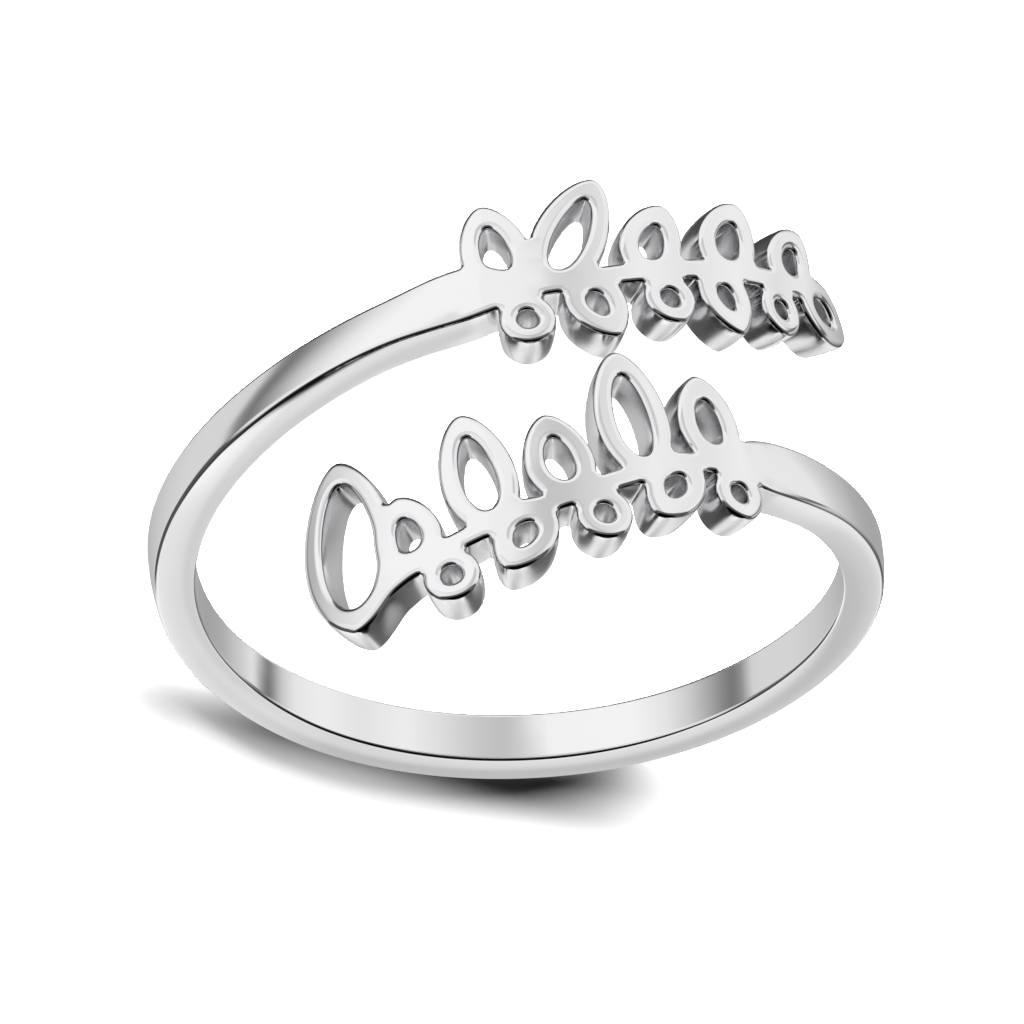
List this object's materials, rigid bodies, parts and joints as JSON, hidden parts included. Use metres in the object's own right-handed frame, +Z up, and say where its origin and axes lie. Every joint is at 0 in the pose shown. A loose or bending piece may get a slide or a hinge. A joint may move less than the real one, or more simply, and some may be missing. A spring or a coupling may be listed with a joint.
{
  "type": "name ring",
  "caption": "Open bypass finger ring of polished silver whose two arms end in openwork leaf sprays, in the places of a name ring's names.",
  "frame": {"origin": "on the table under the middle of the ring as it lies on its side", "axes": "+Z up, the sprays at the -Y side, the ring's axis leaning 17.15 degrees from +Z"},
  "size_m": [0.0194, 0.0202, 0.0117],
  "materials": {
    "silver": "polished silver"
  },
  "bodies": {
    "root": {"ring": "silver"}
  },
  "joints": []
}
